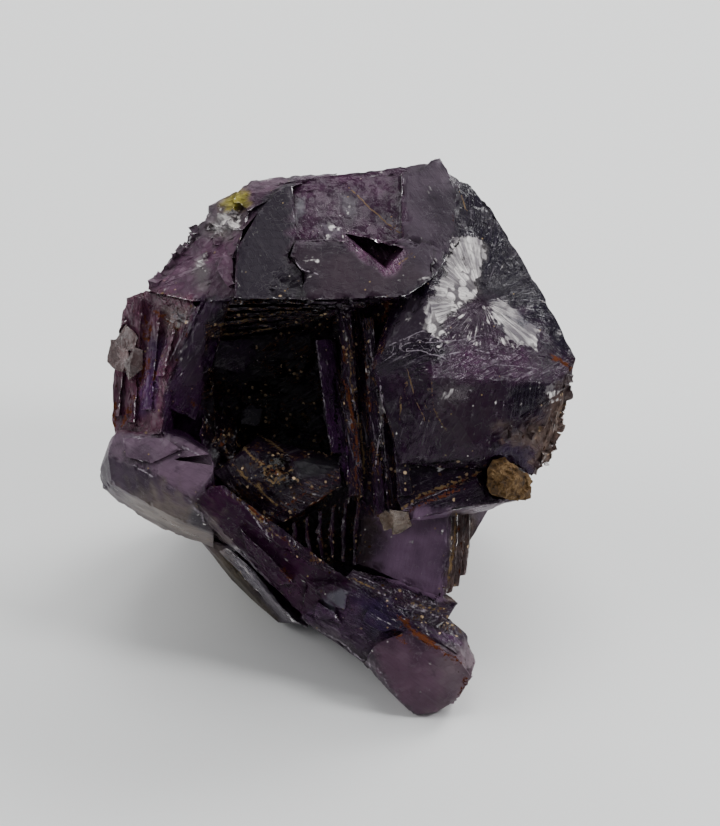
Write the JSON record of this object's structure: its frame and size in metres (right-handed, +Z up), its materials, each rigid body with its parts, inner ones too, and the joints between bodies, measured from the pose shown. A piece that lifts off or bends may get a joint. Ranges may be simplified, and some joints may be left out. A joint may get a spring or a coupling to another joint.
{
  "type": "purple fluorite crystal cluster",
  "caption": "Hand specimen of purple fluorite: intergrown crystals with satin and etched faces round a dark stepped hollow, standing on its broken underside.",
  "frame": {"origin": "middle of the footprint, on the surface that the specimen stands on", "axes": "+Z up, -Y towards the viewer of the picture, +X to the viewer's right"},
  "size_m": [0.0654, 0.0622, 0.0597],
  "materials": {
    "fluorite": "see-through purple crystal, nearly black where thick, with satin and etched faces",
    "matrix": "rough ochre-brown rock",
    "pale_crystal": "colourless to pale pink crystal",
    "tan_crystal": "pale tan crystal with a brown skin"
  },
  "bodies": {
    "root": {"fluorite_cluster": "fluorite", "matrix_lump": "matrix", "pale_crystals": "pale_crystal", "ledge_crystals": "tan_crystal"}
  },
  "joints": []
}
